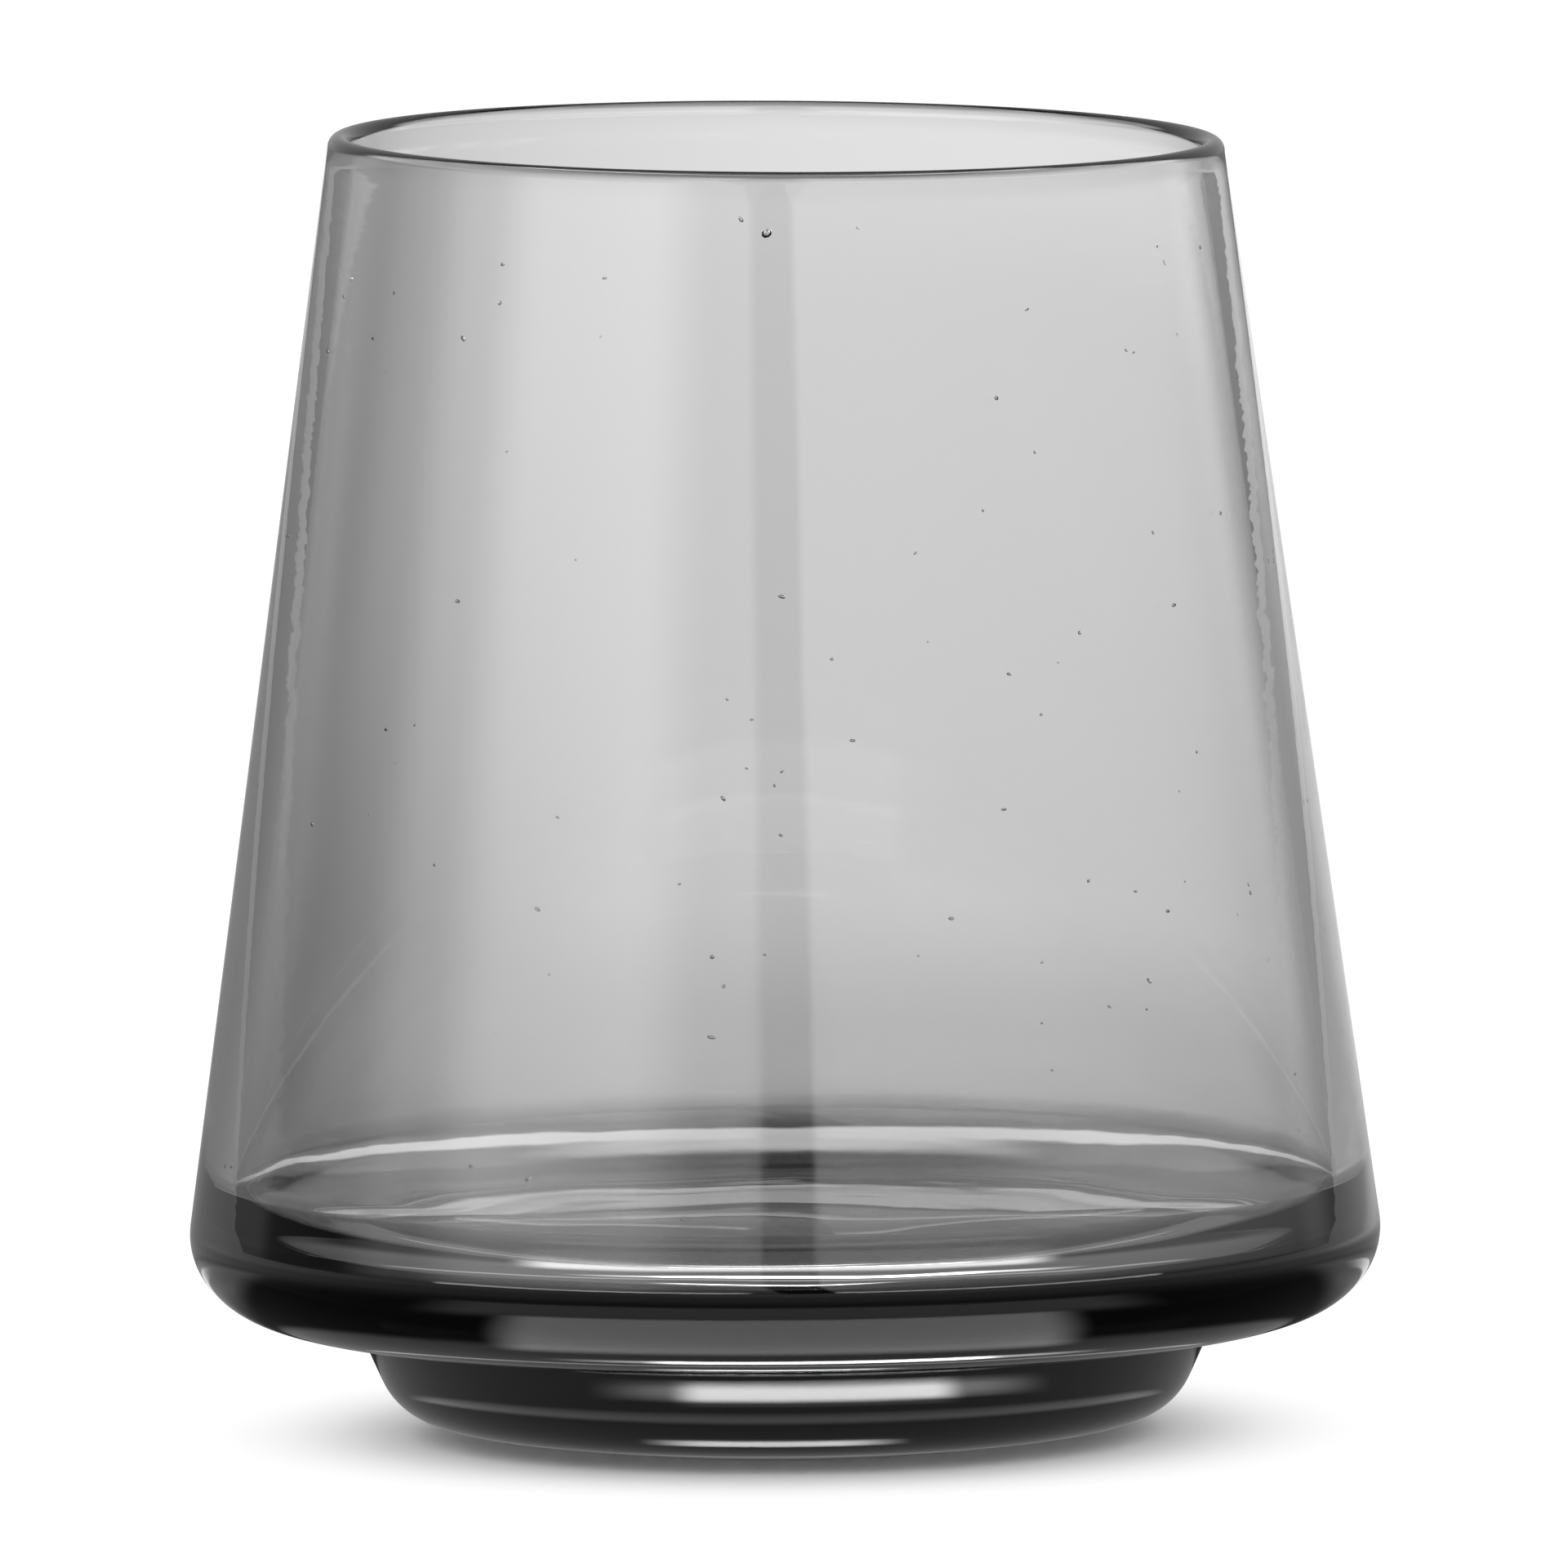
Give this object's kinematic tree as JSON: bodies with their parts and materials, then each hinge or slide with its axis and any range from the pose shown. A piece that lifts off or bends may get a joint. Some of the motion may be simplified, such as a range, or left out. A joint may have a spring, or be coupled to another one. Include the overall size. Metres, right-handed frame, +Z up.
{
  "type": "whiskey tumbler",
  "caption": "Footed smoke-grey glass tumbler: a conical bowl that narrows to the rim, with a rounded heel and a thick floor, fused to a short solid glass foot.",
  "frame": {"origin": "centre of the flat under the foot, on the surface the tumbler stands on", "axes": "+Z up along the tumbler's axis of revolution, from the foot to the rim; X and Y are alike"},
  "size_m": [0.09, 0.09, 0.0982],
  "materials": {
    "smoke_glass": "fire-polished, gloss"
  },
  "bodies": {
    "root": {"bowl": "smoke_glass", "foot": "smoke_glass"}
  },
  "joints": []
}
